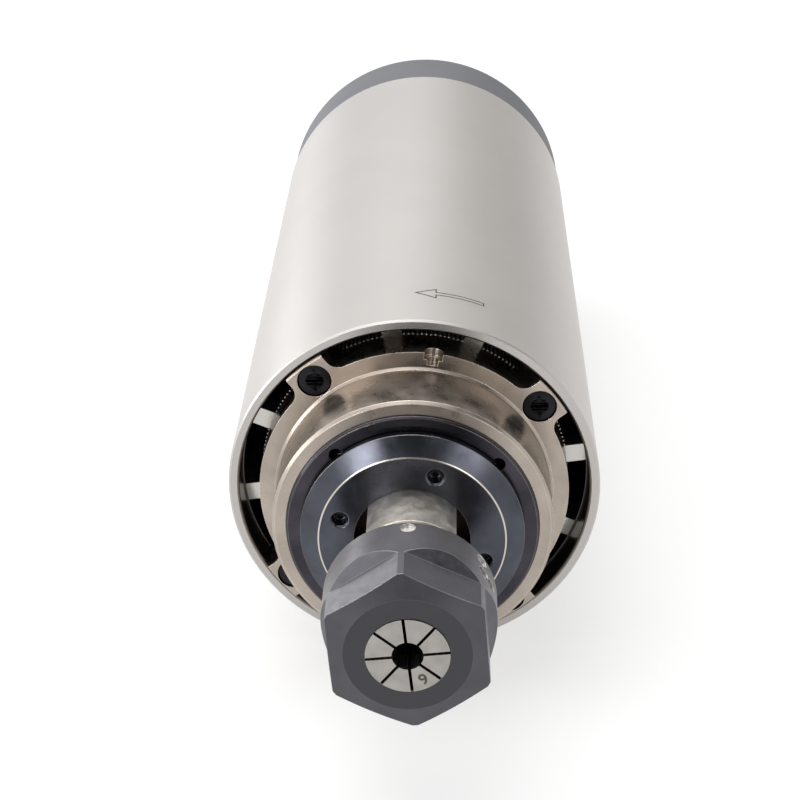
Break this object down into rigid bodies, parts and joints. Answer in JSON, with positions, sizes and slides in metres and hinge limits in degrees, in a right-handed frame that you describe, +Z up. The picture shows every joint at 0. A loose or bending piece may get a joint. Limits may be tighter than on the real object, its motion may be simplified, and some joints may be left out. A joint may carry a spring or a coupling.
{
  "type": "motor spindle",
  "caption": "Air-cooled round motor spindle with a four-eared nose flange, a dust flange and a hexagonal collet nut that clamps a 6 mm tool shank.",
  "frame": {"origin": "on the spindle axis, in the plane of the outer shell's front rim", "axes": "+Y along the axis towards the rear cap, so the nose points to -Y; +Z up, as the spindle lies in the picture"},
  "size_m": [0.08, 0.2672, 0.08],
  "materials": {
    "shell_metal": "fine satin, polished inside",
    "cap_metal": "satin dark grey",
    "extrusion": "as extruded",
    "nickel_steel": "turned, nickel plated",
    "black_steel": "black oxide",
    "bearing_steel": "ground",
    "lamination_steel": "stacked sheet edges",
    "copper": "varnished winding",
    "chrome_metal": "nickel plated",
    "black_plastic": "moulded",
    "pin_brass": "turned",
    "ground_steel": "ground",
    "nut_steel": "dark oxide on steel"
  },
  "bodies": {
    "housing": {"outer_shell": "shell_metal", "rear_cap": "cap_metal", "inner_housing": "extrusion", "front_flange": "nickel_steel", "flange_screws": "black_steel", "gland_ring": "black_steel", "front_bearing_outers": "bearing_steel", "outer_spacer": "bearing_steel", "stator_core": "lamination_steel", "stator_windings": "copper", "rear_bearing_housing": "extrusion", "rear_bearing_outer": "bearing_steel", "preload_spring": "bearing_steel", "rear_housing_screws": "black_steel", "cap_screws": "black_steel", "power_socket": "chrome_metal", "socket_nut": "chrome_metal", "socket_insert": "black_plastic", "socket_pins": "pin_brass"},
    "rotor": {"shaft": "ground_steel", "rotor_core": "lamination_steel", "rotor_end_rings": "extrusion", "front_bearing_inners": "bearing_steel", "inner_spacer": "bearing_steel", "rear_bearing_inner": "bearing_steel", "dust_flange": "black_steel", "rear_lock_nut": "black_steel", "cooling_fan": "black_plastic", "fan_screw": "black_steel"},
    "collet_body": {"collet": "ground_steel"},
    "nut_body": {"collet_nut": "nut_steel", "nut_extraction_ring": "nut_steel"}
  },
  "joints": [
    {"name": "rotor_spin", "type": "hinge", "parent": "housing", "child": "rotor", "pos_m": [0, 0, 0], "axis": [0, -1, 0], "continuous": true},
    {"name": "collet_slide", "type": "slide", "parent": "rotor", "child": "collet_body", "axis": [0, -1, 0], "range_m": [0, 0.006]},
    {"name": "nut_turn", "type": "hinge", "parent": "collet_body", "child": "nut_body", "pos_m": [0, -0.05, 0], "axis": [0, -1, 0], "range_deg": [0, 1440]}
  ],
  "couplings": [
    {"joint": "collet_slide", "follows": "nut_turn", "m_per_rad": 0.00023873}
  ]
}
